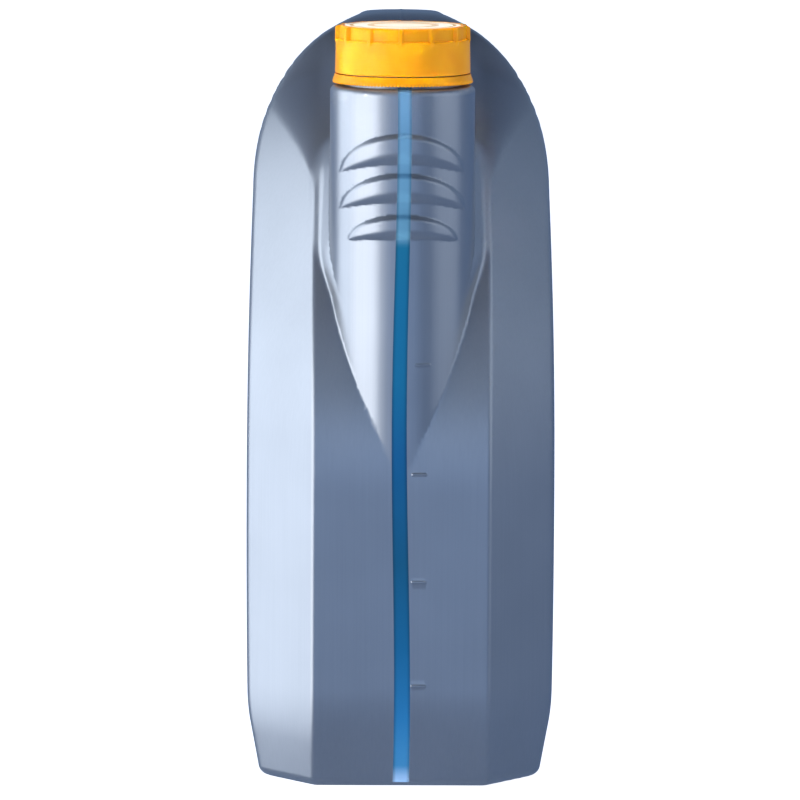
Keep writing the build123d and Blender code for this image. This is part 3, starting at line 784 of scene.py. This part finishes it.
def cap_reach(radius, level, angle):
    """The cap's outside where a rib stands on it or a panel is sunk in it; other radii stay as given."""
    if radius < CAP_RADIUS - SKIN_DEPTH or radius <= CAP_INSIDE + SKIN_CLEAR:
        return radius, level
    pitch = 2 * pi / RIBS
    off_rib = abs((angle - FIRST_RIB + pitch / 2) % pitch - pitch / 2) * CAP_RADIUS
    rib = float(ramp(*RIB_EDGE, off_rib))
    sunk = PANEL_DEPTH * float(ramp(*PANEL_EDGE, level))
    proud = RIB_RISE * float(ramp(*RIB_GROWTH, level))
    return radius - sunk * (1 - rib) + proud * rib * float(ramp(CAP_TOP, CAP_TOP - TOP_ROUND, level)), level


def skirt(level):
    """The skirt's radius, which draws in a little towards the top."""
    return CAP_RADIUS - SKIRT_DRAFT * (level - CAP_FOOT) / (PANEL_FOOT - CAP_FOOT)


label_low, label_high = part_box("cap_label")
seat = label_low[2] / MM
label_radius = (label_high[0] - label_low[0]) / MM / 2
top_radius, plate = skirt(CAP_TOP), CAP_TOP - CAP_PLATE
# The skirt's rings stand closest where the panels begin.
skirt_levels = [
    298.6, 300, 303, 306, 309, 310, 310.6, 311.2, 311.7, 312.1, 312.25, 312.4, 312.55, 312.8, 313.5, 315,
    316.2, 316.9,
]
cap_profile = [
    (0, seat), (8, seat), (16, seat), (label_radius + 0.3, seat), (label_radius + 0.3, CAP_TOP - 0.1),
    (label_radius + 0.4, CAP_TOP), (top_radius - 1.3, CAP_TOP), (top_radius - 0.9, CAP_TOP - 0.03),
    (top_radius - 0.45, CAP_TOP - 0.18), (top_radius - 0.15, CAP_TOP - 0.45),
    (top_radius - 0.02, CAP_TOP - 0.8),
]
cap_profile += [(skirt(level), level) for level in reversed(skirt_levels)]
cap_profile += [
    (CAP_RADIUS - 0.1, CAP_FOOT + 0.1), (CAP_RADIUS - 0.4, CAP_FOOT), (CAP_INSIDE + 0.4, CAP_FOOT),
    (CAP_INSIDE, CAP_FOOT + 0.3), (CAP_INSIDE, plate - 0.6), (CAP_INSIDE - 0.6, plate), (14, plate),
    (0, plate),
]
points, faces = ring_mesh(turned_rings(cap_profile, RIBS * STEPS_A_RIB, cap_reach))
cap_shells = [(points, [face[::-1] for face in faces])]
for angle in thread_angles:
    cap_shells.append(thread_ridge(CAP_INSIDE, -THREAD_DEPTH, CAP_THREAD_FOOT, CAP_THREAD_TURNS, angle))
screw_cap = crisp(add_mesh("screw_cap", *joined(*cap_shells)), SHARP_FROM)
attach(screw_cap, "closure")
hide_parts("cap")

# The plastic is semi-gloss with a fine moulded grain, and light goes a little way into it.
AMBER_STOPS = [(0.3, "F59B00"), (0.7, "FBA702")]
CLOUD_SPACING, GRAIN_SPACING = 12, 0.5
amber, tree, shader = new_material("amber_polypropylene")
place = add_node(tree, "ShaderNodeTexCoord").outputs["Object"]
in_mm = add_node(tree, "ShaderNodeVectorMath", {"operation": "SCALE"}, Vector=place, Scale=1 / MM).outputs[0]
clouds = add_node(tree, "ShaderNodeTexNoise", Vector=in_mm, Scale=1 / CLOUD_SPACING, Detail=2.0)
ambers = add_node(tree, "ShaderNodeValToRGB", stops=AMBER_STOPS, Fac=clouds.outputs[0])
tree.links.new(ambers.outputs[0], shader.inputs["Base Color"])
shader.inputs["Roughness"].default_value = 0.35
shader.inputs["IOR"].default_value = 1.49
shader.inputs["Specular IOR Level"].default_value = 0.22
shader.inputs["Subsurface Weight"].default_value = 0.12
shader.inputs["Subsurface Scale"].default_value = 0.002
pebbles = add_node(tree, "ShaderNodeTexNoise", Vector=in_mm, Scale=1 / GRAIN_SPACING, Detail=2.0)
bump = add_node(tree, "ShaderNodeBump", Strength=0.15, Distance=0.03 * MM, Height=pebbles.outputs[0])
tree.links.new(bump.outputs[0], shader.inputs["Normal"])
screw_cap.data.materials.append(amber)

# ---------------------------------------------------------------------------------------------------
# The tamper band. It broke off the cap's skirt at the first opening and stays under the bead: a flared
# ring of the same plastic with a row of fine teeth along its foot and a flap inside.
# ---------------------------------------------------------------------------------------------------
TOOTH_PITCH, TOOTH_DEPTH, TOOTH_HEIGHT = 1.5, 0.28, 0.25
TOOTH_STEPS = 6
TEETH_TOP, TEETH_LOW, TEETH_RIM = 1.0, 0.5, 1.0  # the teeth reach this far up, and this far in
BAND_RADIUS, BAND_BORE, BAND_FOOT, BAND_TOP = 29.3, 24.8, 294.0, 297.8
teeth = round(2 * pi * BAND_RADIUS / TOOTH_PITCH)


def band_reach(radius, level, angle):
    """The foot of the band with its teeth; the rest stays as given."""
    if level > BAND_FOOT + TEETH_TOP or radius < BAND_RADIUS - TEETH_RIM:
        return radius, level
    gap = 0.5 - 0.5 * cos(teeth * angle)
    return radius - TOOTH_DEPTH * gap, level + TOOTH_HEIGHT * gap * (level < BAND_FOOT + TEETH_LOW)


band_profile = [
    (BAND_BORE, BAND_TOP - 2.0), (BAND_RADIUS - 1.5, BAND_FOOT + 0.2), (BAND_RADIUS - 0.6, BAND_FOOT),
    (BAND_RADIUS - 0.15, BAND_FOOT + 0.08), (BAND_RADIUS, BAND_FOOT + 0.35),
    (BAND_RADIUS, BAND_FOOT + 0.8), (BAND_RADIUS - 0.02, BAND_FOOT + 1.1),
    (BAND_RADIUS - 0.3, BAND_FOOT + 2.0), (BAND_RADIUS - 0.75, BAND_TOP - 0.8),
    (BAND_RADIUS - 0.8, BAND_TOP - 0.25), (BAND_RADIUS - 1.0, BAND_TOP), (BAND_BORE + 1.6, BAND_TOP),
    (BAND_BORE, BAND_TOP - 1.2),
]
band_rings = turned_rings(band_profile, teeth * TOOTH_STEPS, band_reach)
tamper_ring = crisp(add_mesh("tamper_ring", *ring_mesh(band_rings, closed=True)), SHARP_FROM)
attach(tamper_ring, "jug")
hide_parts("tamper_band")
tamper_ring.data.materials.append(amber)

# ---------------------------------------------------------------------------------------------------
# The cap's liner. It is a disc of white closed-cell polyethylene foam, cut from sheet and clipped under
# the cap's plate, where it can turn.
# ---------------------------------------------------------------------------------------------------
FOAM_STOPS = [(0.0, "E2E2DC"), (1.0, "F4F4F0")]
CELL_SIZE = 0.6  # drawn coarser than the real cells, which are about 0.3 mm
# The foam is dull, and its cut cells give it a fine pitted surface.
foam, tree, shader = new_material("white_foam")
place = add_node(tree, "ShaderNodeTexCoord").outputs["Object"]
cells = add_node(tree, "ShaderNodeTexVoronoi", Vector=place, Scale=1 / (CELL_SIZE * MM))
foam_colour = add_node(tree, "ShaderNodeValToRGB", stops=FOAM_STOPS, Fac=cells.outputs["Distance"])
tree.links.new(foam_colour.outputs[0], shader.inputs["Base Color"])
shader.inputs["Roughness"].default_value = 0.7
bump = add_node(tree, "ShaderNodeBump", Strength=0.4, Distance=0.1 * MM, Height=cells.outputs["Distance"])
tree.links.new(bump.outputs[0], shader.inputs["Normal"])
nodes["cap_liner"].data.materials.clear()
nodes["cap_liner"].data.materials.append(foam)

# ---------------------------------------------------------------------------------------------------
# The cap's label. It is a disc of printed satin film stuck in the cap's seat: a cream field and tan rings,
# with a painted shade in tan over its rear half.
# ---------------------------------------------------------------------------------------------------
FILM_STOPS = [(0.0, "F3E9DA"), (0.5, "DDC29C"), (0.62, "F5EFE4"), (0.86, "CFA873"), (0.92, "F7F2E8")]
SHADE_FROM, SHADE_TO, SHADE_MOST = 2, 16, 0.55  # how far behind the middle the painted shade comes in, and how strong it gets
cap_film, tree, shader = new_material("printed_film_disc_with_painted_shade")
place = add_node(tree, "ShaderNodeTexCoord").outputs["Object"]
centre = (0, column_y * MM, label_high[2])
centred = add_node(tree, "ShaderNodeVectorMath", {"operation": "SUBTRACT"}, in0=place, in1=centre)
spot = add_node(tree, "ShaderNodeSeparateXYZ", Vector=centred.outputs[0])
radius = add_node(tree, "ShaderNodeVectorMath", {"operation": "LENGTH"}, in0=centred.outputs[0])
outwards = add_node(
    tree, "ShaderNodeMath", {"operation": "DIVIDE"}, in0=radius.outputs["Value"], in1=label_radius * MM
)
ring = add_node(tree, "ShaderNodeValToRGB", stops=FILM_STOPS, Fac=outwards.outputs[0])
ring.color_ramp.interpolation = "CONSTANT"
# Painted shade: the label's rear half is darkened towards tan.
shade = add_node(
    tree, "ShaderNodeMapRange", {"interpolation_type": "SMOOTHSTEP"},
    in0=spot.outputs["Y"], in1=SHADE_FROM * MM, in2=SHADE_TO * MM, in3=0.0, in4=SHADE_MOST,
)
film_print_and_painted_shade = add_node(
    tree, "ShaderNodeMix", {"data_type": "RGBA"}, in0=shade.outputs[0], in6=ring.outputs[0], in7="C9A57B"
)
tree.links.new(film_print_and_painted_shade.outputs[2], shader.inputs["Base Color"])
shader.inputs["Roughness"].default_value = 0.6
shader.inputs["Specular IOR Level"].default_value = 0.2
nodes["cap_label"].data.materials.clear()
nodes["cap_label"].data.materials.append(cap_film)

# ---------------------------------------------------------------------------------------------------
# The side labels, one on each wide face, in a shallow panel that keeps their edges from catching. They
# are glossy printed film: a pale field with a blue band across it, a thin amber line and a round spot.
# ---------------------------------------------------------------------------------------------------
BAND_STOPS = [
    (0.0, "24577E"), (0.16, "E9EEF2"), (0.56, "F2A81E"), (0.575, "E9EEF2"), (0.6, "2E6C99"),
    (0.84, "DDE5EC"),
]  # up the label
BAND_SLANT = 0.12  # how far the bands rise for each millimetre towards the front
FILM_FOOT, FILM_HEIGHT = 51, 118
DROP_CENTRE, DROP_RADIUS = (0, 8.0, 96.0), 13.0
side_film, tree, shader = new_material("printed_film_panel")
place = add_node(tree, "ShaderNodeTexCoord").outputs["Object"]
in_mm = add_node(tree, "ShaderNodeVectorMath", {"operation": "SCALE"}, Vector=place, Scale=1 / MM).outputs[0]
spot = add_node(tree, "ShaderNodeSeparateXYZ", Vector=in_mm)
slant = add_node(
    tree, "ShaderNodeMath", {"operation": "MULTIPLY_ADD"},
    in0=spot.outputs["Y"], in1=BAND_SLANT, in2=spot.outputs["Z"],
)
upwards = add_node(
    tree, "ShaderNodeMath", {"operation": "MULTIPLY_ADD"},
    in0=slant.outputs[0], in1=1 / FILM_HEIGHT, in2=-FILM_FOOT / FILM_HEIGHT,
)
bands = add_node(tree, "ShaderNodeValToRGB", stops=BAND_STOPS, Fac=upwards.outputs[0])
bands.color_ramp.interpolation = "CONSTANT"
flat = add_node(tree, "ShaderNodeCombineXYZ", Y=spot.outputs["Y"], Z=spot.outputs["Z"])
from_drop = add_node(
    tree, "ShaderNodeVectorMath", {"operation": "DISTANCE"}, in0=flat.outputs[0], in1=DROP_CENTRE
)
in_drop = add_node(
    tree, "ShaderNodeMath", {"operation": "LESS_THAN"}, in0=from_drop.outputs["Value"], in1=DROP_RADIUS
)
panel_colour = add_node(
    tree, "ShaderNodeMix", {"data_type": "RGBA"}, in0=in_drop.outputs[0], in6=bands.outputs[0], in7="F2A81E"
)
tree.links.new(panel_colour.outputs[2], shader.inputs["Base Color"])
shader.inputs["Roughness"].default_value = 0.32
shader.inputs["Coat Weight"].default_value = 0.25
for name in ("side_label_left", "side_label_right"):
    nodes[name].data.materials.clear()
    nodes[name].data.materials.append(side_film)
